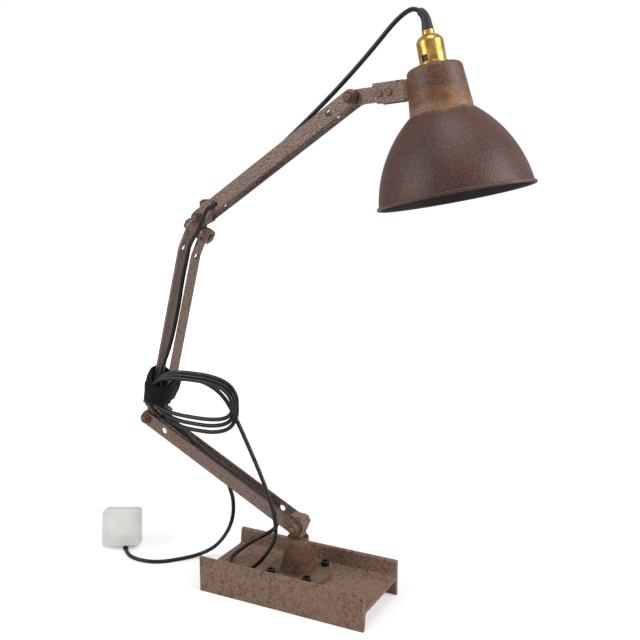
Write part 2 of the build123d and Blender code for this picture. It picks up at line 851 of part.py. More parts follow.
def half_turn(start, heading, width, radius, way):
    """Quarter turn, straight run and quarter turn in an upright plane; way is 1 up or -1 down."""
    lift = Vector(0, 0, way)
    short = radius * (1 - sqrt(0.5))
    long = radius * sqrt(0.5)

    def mark(along, up):
        return start + heading * along + lift * up

    ThreePointArc(mark(0, 0), mark(short, long), mark(radius, radius))
    Line(mark(radius, radius), mark(width - radius, radius))
    ThreePointArc(mark(width - radius, radius), mark(width - short, long), mark(width, 0))
    return mark(width, 0)


def coil():
    """Spare cord wound in loops that meet at the strap and fan out below."""
    start = Vector(coil_left, coil_start_y, coil_middle_z)
    span = coil_right - coil_left
    width = sqrt(span ** 2 + (coil_pitch / 2) ** 2)
    outward = Vector(span, -coil_pitch / 2, 0).normalized()
    homeward = Vector(-span, -coil_pitch / 2, 0).normalized()
    with BuildPart() as piece:
        with BuildLine() as route:
            place = start
            for turn in range(coil_turns):
                place = half_turn(place, outward, width, coil_drop - turn * coil_spread, -1)
                place = half_turn(place, homeward, width, coil_rise - turn * coil_rise_step, 1)
        with BuildSketch(Plane(origin=start, z_dir=(0, 0, -1))):
            Circle(cord_radius)
        sweep()
    wire = route.wires()[0]
    count = 90 * coil_turns
    marks = [wire.position_at(index / count) for index in range(count + 1)]
    step = wire.length / count
    apart = int(20 / step)
    least = min(
        (marks[first] - marks[second]).length
        for first in range(count)
        for second in range(first + apart, count + 1)
    )
    drift = piece.part.volume / (wire.length * pi * cord_radius ** 2) - 1
    print("cord_coil length", round(wire.length, 1), "drift", round(drift, 4))
    print("cord_coil gap", round(least - 2 * cord_radius, 2))
    return save(piece, "cord_coil")


def plug():
    """Moulded plug that leans on its lower back edge: cover, base, pins and cord grommet."""
    reach = plug_back_height + plug_face_height
    with BuildPart() as base_half:
        with BuildSketch(plug_plane.offset(-reach)):
            with Locations((0, plug_length / 2)):
                RectangleRounded(plug_width, plug_length, plug_corner)
        extrude(amount=plug_face_height)
        with BuildSketch(plug_plane.offset(-reach)):
            with Locations(*flat_pins):
                Rectangle(flat_pin_width + 2 * fit_clearance, flat_pin_height + 2 * fit_clearance)
            with Locations(upright_pin):
                Rectangle(upright_pin_width + 2 * fit_clearance, upright_pin_height + 2 * fit_clearance)
        extrude(amount=plug_face_height, mode=Mode.SUBTRACT)
        with BuildSketch(grommet_plane.offset(-plug_width)):
            Circle(grommet_radius + fit_clearance)
        extrude(amount=plug_width + grommet_length + fit_clearance, mode=Mode.SUBTRACT)
    save(base_half, "plug_base")
    with BuildPart() as cover:
        with BuildSketch(plug_plane.offset(-plug_back_height)):
            with Locations((0, plug_length / 2)):
                RectangleRounded(plug_width, plug_length, plug_corner)
        extrude(amount=plug_back_height)
        back_edges = cover.faces().sort_by(Axis(plug_plane.origin, plug_plane.z_dir))[-1].edges()
        fillet(back_edges, 2.5)
        with BuildSketch(grommet_plane.offset(-plug_width)):
            Circle(grommet_radius + fit_clearance)
        extrude(amount=plug_width + grommet_length + fit_clearance, mode=Mode.SUBTRACT)
    save(cover, "plug_cover")
    with BuildPart() as pins:
        with BuildSketch(plug_plane.offset(-reach + plug_face_height - 2)):
            with Locations(*flat_pins):
                Rectangle(flat_pin_width, flat_pin_height)
            with Locations(upright_pin):
                Rectangle(upright_pin_width, upright_pin_height)
        extrude(amount=-(plug_face_height - 2 + pin_length))
    save(pins, "plug_pins")
    with BuildPart() as grommet:
        with BuildSketch(grommet_plane):
            Circle(grommet_radius)
        extrude(amount=grommet_length)
    save(grommet, "plug_grommet")


base_joist()
pedestal()
flange_screws()
swivel_post()
swivel_nut()
swivel_washer()
straight_bar(base_pivot, 180 - lower_arm_angle, -1, "lower_arm_front_bar")
straight_bar(base_pivot, 180 - lower_arm_angle, 1, "lower_arm_back_bar")
straight_bar(high_pivot, upper_arm_angle, -1, "upper_arm_front_bar", heel=True)
straight_bar(high_pivot, upper_arm_angle, 1, "upper_arm_back_bar", heel=True)
bent_bar(-1, "middle_arm_left_bar")
bent_bar(1, "middle_arm_right_bar")
knuckle(low_pivot, 1, "lower_knuckle")
knuckle(high_pivot, -1, "upper_knuckle")
for name, places in (("lower_arm", (base_pivot, low_pivot)), ("upper_arm", (high_pivot, head_pivot))):
    bolts([pivot_plane(place, -bar_outside) for place in places], name + "_bolts")
    nuts([pivot_plane(place, bar_outside) for place in places], nut_across, name + "_nuts")
swivels = (low_swivel, high_swivel)
bolts([swivel_plane(place, -bar_outside) for place in swivels], "middle_arm_bolts", domed=False)
nuts([swivel_plane(place, bar_outside) for place in swivels], big_nut_across, "middle_arm_nuts")
friction_washers(
    [(pivot_plane(place), knuckle_width) for place in (base_pivot, low_pivot)], "lower_arm_washers"
)
friction_washers([(swivel_plane(place), knuckle_width) for place in swivels], "middle_arm_washers")
friction_washers(
    [(pivot_plane(high_pivot), knuckle_width), (pivot_plane(head_pivot), tongue_thickness)],
    "upper_arm_washers",
)
tongue()
shade_bracket()
bracket_rivets()
saddle()
saddle_rivets()
shade_neck()
shade()
holder_barrel()
holder_rings()
holder_inside()
holder_cap()
strain_relief()
strap()
coil()
sleeve_tip = shade_plane.origin + shade_up * (sleeve_start + sleeve_length)
over_sleeve = sleeve_tip + shade_up * 10
end, way = cord(
    "cord_head",
    sleeve_tip,
    over_sleeve,
    (over_sleeve.X - 19.5, over_sleeve.Y - 1, over_sleeve.Z + 6.1),
    (84, 0, 629.5),
    (44, 0, 592),
    (15, 0, 567),
    (-10, 0, 546.5),
    (-25, 0, 533.5),
)
end, way = cord(
    "cord_upper_arm",
    end,
    end + way * 12,
    (-62, 0.2, 499.5),
    (-98.4, -0.25, 474.4),
    (-104.3, -10, 470.4),
)
end, way = cord(
    "cord_upper_elbow",
    end,
    end + way * 11.5,
    (-117, -21, 444),
    (-139, -13, 423),
    (-149.5, -4, 404),
    (-154.2, -3, 390),
)
cord(
    "cord_middle_arm",
    end,
    end + way * 13,
    (-166.5, -2, 338),
    (-180.5, -3.5, 287),
    (coil_left, coil_start_y, 254),
    (coil_left, coil_start_y, coil_middle_z),
)
coil_end_y = coil_start_y - coil_turns * coil_pitch
end, way = cord(
    "cord_lower_elbow_back",
    (coil_left, coil_end_y, coil_middle_z),
    (coil_left, coil_end_y, 219),
    (-184, -20, 203),
    (-176, -6, 189),
    (-160, 3.2, 173.5),
    (-138, 3.2, 158.5),
)
end, way = cord(
    "cord_channel_back",
    end,
    end + way * 14,
    (-96, 3.0, 137.5),
    (-60, 3.2, 117),
)
end, way = cord(
    "cord_base_loop",
    end,
    end + way * 17,
    (-30, 2.8, 97),
    (-29, 1, 79),
    (-46, -1, 66),
    (-66, 7, 52),
    (-84, 11.4, 38),
    (-93.7, -5.3, 28.4),
    (-84, -24.5, 27.2),
    (-66, -24.3, 27.2),
)
end, way = cord(
    "cord_rise",
    end,
    end + way * 12,
    (-34, -28, 47),
    (-15, -26, 78),
    (-19, -24, 108),
    (-34, -21, 141),
    (-56, -16, 178),
    (-82, cord_back_y, 220),
    (-97, cord_back_y, 241),
    (-120, cord_back_y, 253),
    (-146, cord_back_y, 256),
    (-172, cord_back_y, 250),
    (cord_right_x, cord_back_y, 226),
)
end, way = cord(
    "cord_lower_elbow_front",
    end,
    end + way * 12.5,
    (-171.8, -9.4, 197),
    (-158, -3.2, 180),
    (-140, -3.2, 161),
    (-128, -3.2, 153.4),
)
end, way = cord(
    "cord_channel_front",
    end,
    end + way * 12,
    (-100, -3.2, 134),
    (-94, -2.4, 115),
)
cord(
    "cord_tail",
    end,
    end + way * 10,
    (-94, 3, 84),
    (-106, 13, 60),
    (-124, 24, 36),
    (-144, 30, 15),
    (-166, 24, 2.7),
    (-180, 4, 2.6),
    (-200, -17, 2.6),
    (-226, -23, 2.6),
    (-250, -17.5, 2.6),
    grommet_plane.origin,
)
plug()
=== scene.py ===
import bpy
import json
from math import cos, pi, radians, sin

from mathutils import Matrix, Vector

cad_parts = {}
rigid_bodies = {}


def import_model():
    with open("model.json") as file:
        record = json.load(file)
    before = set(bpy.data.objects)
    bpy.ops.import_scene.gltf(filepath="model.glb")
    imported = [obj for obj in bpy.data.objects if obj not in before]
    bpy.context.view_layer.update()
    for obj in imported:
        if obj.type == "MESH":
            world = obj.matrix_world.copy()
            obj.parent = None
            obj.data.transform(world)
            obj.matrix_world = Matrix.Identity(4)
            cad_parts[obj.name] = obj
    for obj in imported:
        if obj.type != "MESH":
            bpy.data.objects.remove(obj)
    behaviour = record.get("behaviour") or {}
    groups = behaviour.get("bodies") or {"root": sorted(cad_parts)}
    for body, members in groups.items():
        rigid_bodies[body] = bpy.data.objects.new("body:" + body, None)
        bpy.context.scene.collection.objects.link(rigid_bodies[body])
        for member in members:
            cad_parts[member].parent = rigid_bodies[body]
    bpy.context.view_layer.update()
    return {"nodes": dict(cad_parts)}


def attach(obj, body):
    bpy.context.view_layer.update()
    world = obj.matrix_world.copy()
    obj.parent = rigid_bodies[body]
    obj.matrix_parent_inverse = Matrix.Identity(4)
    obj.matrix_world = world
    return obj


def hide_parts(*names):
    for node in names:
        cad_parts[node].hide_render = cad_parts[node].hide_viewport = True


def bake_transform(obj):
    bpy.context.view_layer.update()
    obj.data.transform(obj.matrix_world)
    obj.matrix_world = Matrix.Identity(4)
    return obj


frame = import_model()


# Camera. It stands in front and to the right of the lamp, a little below the
# top of the shade, and looks down at the joist by about eleven degrees.
camera_data = bpy.data.cameras.new("camera")
camera_data.sensor_width = 36
camera_data.lens = 50.96
camera = bpy.data.objects.new("camera", camera_data)
camera_spot = Matrix.Translation((0.4929, -0.9051, 0.5361))
looking = Vector((-0.4475, 0.8745, -0.1869)).normalized()
level = Vector((0.8902, 0.4555, 0)).normalized()
upright = level.cross(looking)
camera_turn = Matrix((level, upright, -looking)).transposed().to_4x4()
camera.matrix_world = camera_spot @ camera_turn
bpy.context.collection.objects.link(camera)
bpy.context.scene.camera = camera


# Cord. One length of black round rubber lead, 5 mm thick: out of the sleeve on
# the lamp holder, along the arms, round the spare loops at the strap, over the
# joist, up again and back through the lower arm to the plug on the floor.
class Wire:
    """One shader socket; arithmetic on it adds Math nodes."""

    def __init__(self, finish, socket):
        self.finish = finish
        self.socket = socket

    def math(self, operation, other):
        return self.finish.node(
            "ShaderNodeMath", {"operation": operation}, {0: self, 1: other}
        )

    def __add__(self, other):
        return self.math("ADD", other)

    def __sub__(self, other):
        return self.math("SUBTRACT", other)

    def __mul__(self, other):
        return self.math("MULTIPLY", other)

    def __rsub__(self, other):
        return (self * -1) + other

    __radd__ = __add__
    __rmul__ = __mul__

    def between(self, low, high):
        """0 below low, 1 above high, smooth between them."""
        return self.finish.node(
            "ShaderNodeMapRange",
            {"interpolation_type": "SMOOTHSTEP"},
            {"Value": self, "From Min": low, "From Max": high},
        )


class Finish:
    """One surface finish: a material with a Principled shader."""

    def __init__(self, name):
        self.material = bpy.data.materials.new(name)
        self.material.use_nodes = True
        self.tree = self.material.node_tree
        self.shader = self.tree.nodes["Principled BSDF"]

    def node(self, kind, settings, values, output=0):
        """A new node; values are numbers, colours or wires, by input."""
        made = self.tree.nodes.new(kind)
        for name, value in settings.items():
            setattr(made, name, value)
        for name, value in values.items():
            self.set_input(made.inputs[name], value)
        return Wire(self, made.outputs[output])

    def set_input(self, socket, value):
        if isinstance(value, Wire):
            self.tree.links.new(value.socket, socket)
        else:
            socket.default_value = value

    def place(self):
        return self.node("ShaderNodeTexCoord", {}, {}, "Object")

    def noise(self, scale, detail=4.0, rough=0.55, stretch=None):
        spot = self.place()
        if stretch:
            spot = self.node(
                "ShaderNodeVectorMath", {"operation": "MULTIPLY"}, {0: spot, 1: stretch}
            )
        return self.node(
            "ShaderNodeTexNoise",
            {},
            {"Vector": spot, "Scale": scale, "Detail": detail, "Roughness": rough},
        )

    def cells(self, scale, feature="F1"):
        return self.node(
            "ShaderNodeTexVoronoi",
            {"feature": feature},
            {"Vector": self.place(), "Scale": scale},
        )

    def blend(self, mask, low, high):
        """The colour low where mask is 0 and high where it is 1."""
        return self.node(
            "ShaderNodeMix", {"data_type": "RGBA"}, {0: mask, 6: low, 7: high}, 2
        )

    def worn(self):
        """1 on outer edges, 0 on flat faces and inner corners."""
        pointiness = self.node("ShaderNodeNewGeometry", {}, {}, "Pointiness")
        return pointiness.between(0.505, 0.5612)

    def bump(self, height, strength, distance):
        return self.node(
            "ShaderNodeBump",
            {},
            {"Height": height, "Strength": strength, "Distance": distance},
        )

    def colour(self):
        """The wire that feeds the shader's colour so far."""
        return Wire(self, self.shader.inputs["Base Color"].links[0].from_socket)

    def feed(self, **values):
        """Sets the shader's inputs by short names."""
        inputs = {
            "colour": "Base Color",
            "rough": "Roughness",
            "metal": "Metallic",
            "normal": "Normal",
            "gloss": "Specular IOR Level",
            "sheen": "Sheen Weight",
            "sheen_rough": "Sheen Roughness",
            "glow": "Emission Color",
            "glow_power": "Emission Strength",
        }
        for name, value in values.items():
            self.set_input(self.shader.inputs[inputs[name]], value)


def tint(text):
    """A colour written as six hex digits, as Blender's linear light."""
    parts = [int(text[index:index + 2], 16) / 255 for index in (0, 2, 4)]
    return tuple(
        part / 12.92 if part <= 0.04045 else ((part + 0.055) / 1.055) ** 2.4
        for part in parts
    ) + (1.0,)


def piece(name, verts, faces, smooth=True):
    """A mesh object from points and faces, in the lamp's frame."""
    mesh = bpy.data.meshes.new(name)
    mesh.from_pydata([tuple(vert) for vert in verts], [], faces)
    mesh.update()
    if smooth:
        mesh.polygons.foreach_set("use_smooth", [True] * len(mesh.polygons))
    made = bpy.data.objects.new(name, mesh)
    bpy.context.collection.objects.link(made)
    return made


def skin(name, rings, closed=False, smooth=True):
    """A piece over rings of points: a closed band, or a bar with two ends."""
    count = len(rings[0])
    faces = []
    for index in range(len(rings) if closed else len(rings) - 1):
        here, there = index * count, (index + 1) % len(rings) * count
        for step in range(count):
            after = (step + 1) % count
            faces.append((here + step, here + after, there + after, there + step))
    verts = [point for ring in rings for point in ring]
    if not closed:
        faces.append(tuple(range(count))[::-1])
        faces.append(tuple(range(len(verts) - count, len(verts))))
    return piece(name, verts, faces, smooth)


def tube(name, line, radii, sides=12):
    """A round tube along a line of close points, one radius for each."""
    rings = []
    side = (line[1] - line[0]).normalized().orthogonal().normalized()
    for index, (point, radius) in enumerate(zip(line, radii)):
        ahead = line[min(index + 1, len(line) - 1)] - line[max(index - 1, 0)]
        ahead.normalize()
        side = (side - ahead * side.dot(ahead)).normalized()
        across = ahead.cross(side)
        angles = [2 * pi * step / sides for step in range(sides)]
        rings.append(
            [point + (side * cos(a) + across * sin(a)) * radius for a in angles]
        )
    return skin(name, rings)


def run_length(line):
    return sum((after - before).length for before, after in zip(line, line[1:]))


lead_rubber = Finish("lead_rubber")
grime = lead_rubber.noise(90, 3)
lead_rubber.feed(
    colour=lead_rubber.blend(
        grime.between(0.35, 0.75), tint("0b0b0c"), tint("1a1a1b")
    ),
    rough=0.27 + 0.15 * grime,
    normal=lead_rubber.bump(lead_rubber.noise(420, 2), 0.06, 0.0003),
    gloss=0.4,
)
lead_radius = 0.0025

# Three loops of spare lead hang to the right of the strap, each one smaller
# than the one behind it and a little nearer the front.
loop_count, loop_points = 3, 16
loop_left, loop_right, loop_middle = -0.1900, -0.0715, 0.234
loop_back, loop_step = -0.0168, 0.0056
loop_drop, drop_step = 0.041, 0.010
loop_rise, rise_step = 0.032, 0.0025
loop_corner = 0.13
loops = []
for turn in range(loop_count):
    drop = loop_drop - drop_step * turn
    rise = loop_rise - rise_step * turn
    for step in range(loop_points):
        angle = pi + 2 * pi * step / loop_points
        reach = (loop_right - loop_left) / 2
        height = (drop if sin(angle) < 0 else rise) * sin(angle)
        corner = 1 + loop_corner * sin(2 * angle) ** 2
        loops.append((
            (loop_left + loop_right) / 2 + reach * cos(angle) * corner,
            loop_back - loop_step * (turn + step / loop_points),
            loop_middle + height * corner,
        ))

# The route's points: the head, the upper and the middle arm; the loops; down
# the lower arm and round on the joist; up to the strap; down and to the plug.
route = [
    (0.1505, 0.0020, 0.6621), (0.1483, 0.0024, 0.6719), (0.1288, 0.0014, 0.6780),
    (0.0840, 0, 0.6295), (0.0440, 0, 0.5920), (0.0150, 0, 0.5670),
    (-0.0100, 0, 0.5465), (-0.0345, 0, 0.5253), (-0.0620, 0.0002, 0.4995),
    (-0.0984, -0.0003, 0.4744), (-0.1102, -0.0198, 0.4664), (-0.1170, -0.0210, 0.4440),
    (-0.1390, -0.0130, 0.4230), (-0.1495, -0.0040, 0.4040), (-0.1582, -0.0021, 0.3780),
    (-0.1665, -0.0020, 0.3380), (-0.1805, -0.0035, 0.2870), (-0.1900, -0.0168, 0.2540),
] + loops + [
    (-0.1900, -0.0336, 0.2340), (-0.1900, -0.0336, 0.2190), (-0.1840, -0.0200, 0.2030),
    (-0.1760, -0.0060, 0.1890), (-0.1600, 0.0032, 0.1735), (-0.1260, 0.0032, 0.1503),
    (-0.0960, 0.0030, 0.1375), (-0.0450, 0.0034, 0.1090), (-0.0300, 0.0028, 0.0970),
    (-0.0290, 0.0010, 0.0790), (-0.0460, -0.0010, 0.0660), (-0.0660, 0.0070, 0.0520),
    (-0.0840, 0.0114, 0.0380), (-0.0937, -0.0053, 0.0284), (-0.0840, -0.0245, 0.0272),
    (-0.0550, -0.0242, 0.0272), (-0.0340, -0.0280, 0.0470), (-0.0150, -0.0260, 0.0780),
    (-0.0190, -0.0240, 0.1080), (-0.0340, -0.0210, 0.1410), (-0.0560, -0.0160, 0.1780),
    (-0.0820, -0.0112, 0.2200), (-0.0970, -0.0112, 0.2410), (-0.1200, -0.0112, 0.2530),
    (-0.1460, -0.0112, 0.2560), (-0.1720, -0.0112, 0.2500), (-0.1842, -0.0112, 0.2260),
    (-0.1899, -0.0112, 0.2149), (-0.1718, -0.0094, 0.1970), (-0.1580, -0.0032, 0.1800),
    (-0.1400, -0.0032, 0.1610), (-0.1180, -0.0032, 0.1470), (-0.1000, -0.0032, 0.1340),
    (-0.0940, -0.0024, 0.1150), (-0.0910, -0.0020, 0.1055), (-0.0940, 0.0030, 0.0840),
    (-0.1060, 0.0130, 0.0600), (-0.1240, 0.0240, 0.0360), (-0.1440, 0.0300, 0.0150),
    (-0.1660, 0.0240, 0.0027), (-0.1800, 0.0040, 0.0026), (-0.2000, -0.0170, 0.0026),
    (-0.2260, -0.0230, 0.0026), (-0.2500, -0.0175, 0.0026), (-0.2620, -0.0055, 0.0035),
]
lead_curve = bpy.data.curves.new("lead_route", "CURVE")
lead_curve.dimensions = "3D"
lead_curve.resolution_u = 10
lead_spline = lead_curve.splines.new("NURBS")
lead_spline.points.add(len(route) - 1)
for point, stop in zip(lead_spline.points, route):
    point.co = stop + (1,)
lead_spline.order_u = 3
lead_spline.use_endpoint_u = True
lead_guide = bpy.data.objects.new("lead_guide", lead_curve)
bpy.context.collection.objects.link(lead_guide)
lead_mesh = bpy.data.meshes.new_from_object(lead_guide)
lead_line = [vert.co.copy() for vert in lead_mesh.vertices]
bpy.data.objects.remove(lead_guide)
bpy.data.meshes.remove(lead_mesh)

# Stretches between the joints, from the lamp holder to the plug: the piece, the
# CAD node that it stands for, its one body or the two that it runs between,
# where the bend starts and ends, and where the stretch is cut off.
stretches = [
    ("lead_head", "cord_head", ("head", "upper_arm"),
     (0.128, 0, 0.672), (0.062, 0, 0.610), (0.040, 0, 0.589)),
    ("lead_upper_arm", "cord_upper_arm", ("upper_arm",),
     None, None, (-0.0984, -0.003, 0.472)),
    ("lead_high_elbow", "cord_upper_elbow", ("upper_arm", "upper_joint"),
     (-0.104, -0.012, 0.468), (-0.114, -0.020, 0.450), (-0.118, -0.020, 0.444)),
    ("lead_high_swivel", "cord_upper_elbow", ("upper_joint", "middle_arm"),
     (-0.119, -0.020, 0.441), (-0.141, -0.012, 0.419), (-0.150, -0.004, 0.402)),
    ("lead_middle_arm", "cord_middle_arm", ("middle_arm",),
     None, None, (-0.190, -0.0168, 0.238)),
    ("lead_loops", "cord_coil", ("middle_arm",),
     None, None, (-0.190, -0.0336, 0.230)),
    ("lead_low_swivel_back", "cord_lower_elbow_back", ("middle_arm", "lower_joint"),
     (-0.190, -0.033, 0.226), (-0.186, -0.024, 0.208), (-0.185, -0.021, 0.205)),
    ("lead_low_elbow_back", "cord_lower_elbow_back", ("lower_joint", "lower_arm"),
     (-0.183, -0.018, 0.201), (-0.165, 0, 0.178), (-0.145, 0.003, 0.163)),
    ("lead_channel_back", "cord_channel_back", ("lower_arm",),
     None, None, (-0.055, 0.003, 0.1145)),
    ("lead_pivot_back", "cord_base_loop", ("lower_arm", "swivel"),
     (-0.046, 0.003, 0.109), (-0.030, 0.001, 0.084), (-0.030, 0.001, 0.080)),
    ("lead_base_back", "cord_base_loop", ("swivel", "base"),
     (-0.036, 0, 0.073), (-0.070, 0.007, 0.048), (-0.083, -0.024, 0.0272)),
    ("lead_base_front", "cord_rise", ("base", "swivel"),
     (-0.052, -0.025, 0.030), (-0.022, -0.026, 0.068), (-0.017, -0.025, 0.085)),
    ("lead_pivot_front", "cord_rise", ("swivel", "lower_arm"),
     (-0.018, -0.024, 0.095), (-0.045, -0.018, 0.160), (-0.050, -0.0175, 0.168)),
    ("lead_rise_low", "cord_rise", ("lower_arm", "lower_joint"),
     (-0.053, -0.017, 0.172), (-0.085, -0.012, 0.224), (-0.088, -0.0112, 0.228)),
    ("lead_rise_high", "cord_rise", ("lower_joint", "middle_arm"),
     (-0.092, -0.0112, 0.233), (-0.150, -0.0112, 0.256), (-0.183, -0.0112, 0.230)),
    ("lead_low_swivel_front", "cord_lower_elbow_front", ("middle_arm", "lower_joint"),
     (-0.183, -0.0112, 0.226), (-0.175, -0.010, 0.205), (-0.174, -0.010, 0.202)),
    ("lead_low_elbow_front", "cord_lower_elbow_front", ("lower_joint", "lower_arm"),
     (-0.171, -0.009, 0.197), (-0.152, -0.004, 0.173), (-0.135, -0.0032, 0.158)),
    ("lead_channel_front", "cord_channel_front", ("lower_arm",),
     None, None, (-0.096, -0.003, 0.121)),
    ("lead_tail_high", "cord_tail", ("lower_arm", "swivel"),
     (-0.094, -0.002, 0.114), (-0.098, 0.006, 0.076), (-0.100, 0.008, 0.071)),
    ("lead_tail", "cord_tail", ("swivel", "base"),
     (-0.104, 0.011, 0.064), (-0.130, 0.026, 0.030), None),
]
search_points = 600
reached = 0
lead_pieces = {}
for name, node, bodies, start, end, cut in stretches:
    last = len(lead_line) - 1
    if cut is None:
        stop = last
    else:
        stop = min(
            range(reached + 2, min(reached + search_points, last + 1)),
            key=lambda index: (lead_line[index] - Vector(cut)).length,
        )
    line = lead_line[reached:stop + 1]
    made = tube(name, line, [lead_radius] * len(line))
    made.data.materials.append(lead_rubber.material)
    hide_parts(node)
    if len(bodies) == 1:
        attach(made, bodies[0])
    else:
        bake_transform(made)
    lead_pieces[name] = (made, line)
    reached = stop


# Each stretch's run length is worked out and not kept, apart from the three
# short ones inside the knuckles, whose neighbours stand for the same CAD nodes.
def declare_lead(name):
    made, line = lead_pieces[name]
    run_length(line)


for name, lay in (
    ("lead_head", "loose"),
    ("lead_upper_arm", "loose"),
    ("lead_high_swivel", "loose"),
    ("lead_middle_arm", "loose"),
    ("lead_loops", "coiled"),
    ("lead_low_elbow_back", "loose"),
    ("lead_channel_back", "loose"),
    ("lead_pivot_back", "loose"),
    ("lead_base_back", "loose"),
    ("lead_base_front", "loose"),
    ("lead_pivot_front", "loose"),
    ("lead_rise_low", "loose"),
    ("lead_rise_high", "loose"),
    ("lead_low_elbow_front", "loose"),
    ("lead_channel_front", "loose"),
    ("lead_tail_high", "hanging"),
):
    declare_lead(name)
declare_lead("lead_tail")


# Plug. A white moulded mains plug that leans back on its lower edge, with three
# brass pins behind and a dark grommet below. The label on its cover is bare.
white_plastic = Finish("white_plastic")
smudge = white_plastic.noise(35, 5)
white_plastic.feed(
    colour=white_plastic.blend(
        smudge.between(0.4, 0.8), tint("f1f0ee"), tint("dcd9d4")
    ),
    rough=0.28 + 0.15 * smudge,
    normal=white_plastic.bump(white_plastic.noise(900, 2), 0.05, 0.0002),
)
pin_brass = Finish("pin_brass")
pin_brass.feed(
    colour=pin_brass.blend(
        pin_brass.noise(160, 3), tint("c9b27a"), tint("b0955c")
    ),
    rough=0.3,
    metal=1.0,
)
sleeve_rubber = Finish("sleeve_rubber")
sleeve_rubber.feed(
    colour=sleeve_rubber.blend(
        sleeve_rubber.noise(200, 3), tint("101011"), tint("202022")
    ),
    rough=0.5,
    normal=sleeve_rubber.bump(sleeve_rubber.noise(900, 2), 0.15, 0.0003),
)


def refinish(finish, *nodes):
    """Gives CAD nodes their surface finish."""
    for node in nodes:
        target = frame["nodes"][node]
        for part in [target] + list(target.children_recursive):
            if part.type == "MESH":
                part.data.materials.clear()
                part.data.materials.append(finish.material)


refinish(white_plastic, "plug_cover", "plug_base")
refinish(pin_brass, "plug_pins")
refinish(sleeve_rubber, "plug_grommet")

plug_spot = Vector((-0.2812, 0.0143, 0))
plug_turn, plug_lean = radians(27), radians(12)
plug_out = Vector((
    sin(plug_turn) * cos(plug_lean),
    -cos(plug_turn) * cos(plug_lean),
    sin(plug_lean),
))
plug_side = Vector((cos(plug_turn), sin(plug_turn), 0))
plug_up = plug_out.cross(plug_side)
plug_front = 0.02505
label_width, label_height, label_corner = 0.030, 0.024, 0.003
label_raise = 0.016
label_foot = plug_spot + plug_out * plug_front + plug_up * label_raise
label_outline = []
for quarter, (right, high) in enumerate(((1, 1), (-1, 1), (-1, -1), (1, -1))):
    for step in range(7):
        angle = (quarter + step / 6) * pi / 2
        x = right * (label_width / 2 - label_corner) + label_corner * cos(angle)
        y = high * (label_height / 2 - label_corner) + label_corner * sin(angle)
        label_outline.append((x, y + label_height / 2))
label_sunk, label_proud = -0.0001, 0.0003
label_rings = [
    [label_foot + plug_side * x + plug_up * y + plug_out * lift
     for x, y in label_outline]
    for lift in (label_sunk, label_proud)
]
label = skin("plug_label", label_rings, smooth=False)
label_paper = Finish("label_paper")
label_paper.feed(
    colour=label_paper.blend(
        label_paper.noise(60, 4), tint("f7f6f3"), tint("e9e7e2")
    ),
    rough=0.6,
)
label.data.materials.append(label_paper.material)
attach(label, "base")


# Joist and pedestal. A short length of rolled joist lies on its side under a
# turned pedestal, both rusty and oiled; four black cap screws hold the flange.
def rusty(name, dark, middle, bright, scale, rough=0.55):
    """Oiled rust: mottled browns, fine pits and lighter worn edges."""
    made = Finish(name)
    patches = made.noise(26 * scale, 7, 0.7)
    specks = made.noise(330 * scale, 5, 0.7)
    pits = made.cells(430 * scale)
    ground = made.blend(patches.between(0.38, 0.62), tint(dark), tint(middle))
    speckled = made.blend(specks.between(0.52, 0.72), ground, tint(bright))
    edges = made.worn() * specks.between(0.3, 0.6)
    made.feed(
        colour=made.blend(edges, speckled, tint("8d7464")),
        rough=rough + 0.25 * specks - 0.1 * patches,
        normal=made.bump(specks * 0.6 + patches * 0.5 + pits * 0.35, 0.45, 0.0011),
        gloss=0.4,
    )
    return made


joist_rust = rusty("joist_rust", "4c3023", "77513c", "93684f", 0.8)
pedestal_rust = rusty("pedestal_rust", "452a20", "6a4534", "86604a", 1.2)
flange_top, flange_fade = 0.0345, 0.0008
pedestal_height = pedestal_rust.node(
    "ShaderNodeSeparateXYZ", {}, {0: pedestal_rust.place()}, "Z"
)
flange_tan = pedestal_rust.blend(
    pedestal_rust.noise(70, 5), tint("5c483a"), tint("7f6a58")
)
pedestal_rust.feed(
    colour=pedestal_rust.blend(
        (flange_top - pedestal_height).between(0.0, flange_fade),
        pedestal_rust.colour(),
        flange_tan,
    )
)
fastener_rust = rusty("fastener_rust", "3d261b", "6a4531", "8a6148", 2.2, 0.5)
knuckle_rust = rusty("knuckle_rust", "3f2418", "6f4127", "8f5a3a", 1.6, 0.6)
black_screws = Finish("black_screws")
black_screws.feed(
    colour=black_screws.blend(
        black_screws.noise(300, 3), tint("161616"), tint("2b2826")
    ),
    rough=0.42,
    metal=0.6,
)
fibre = Finish("fibre")
fibre.feed(
    colour=fibre.blend(fibre.noise(250, 4), tint("1d1916"), tint("352c26")),
    rough=0.8,
)
refinish(joist_rust, "base_joist")
refinish(pedestal_rust, "pedestal", "swivel_post")
refinish(black_screws, "flange_screws")
refinish(fastener_rust, "swivel_nut")
refinish(fibre, "swivel_washer")


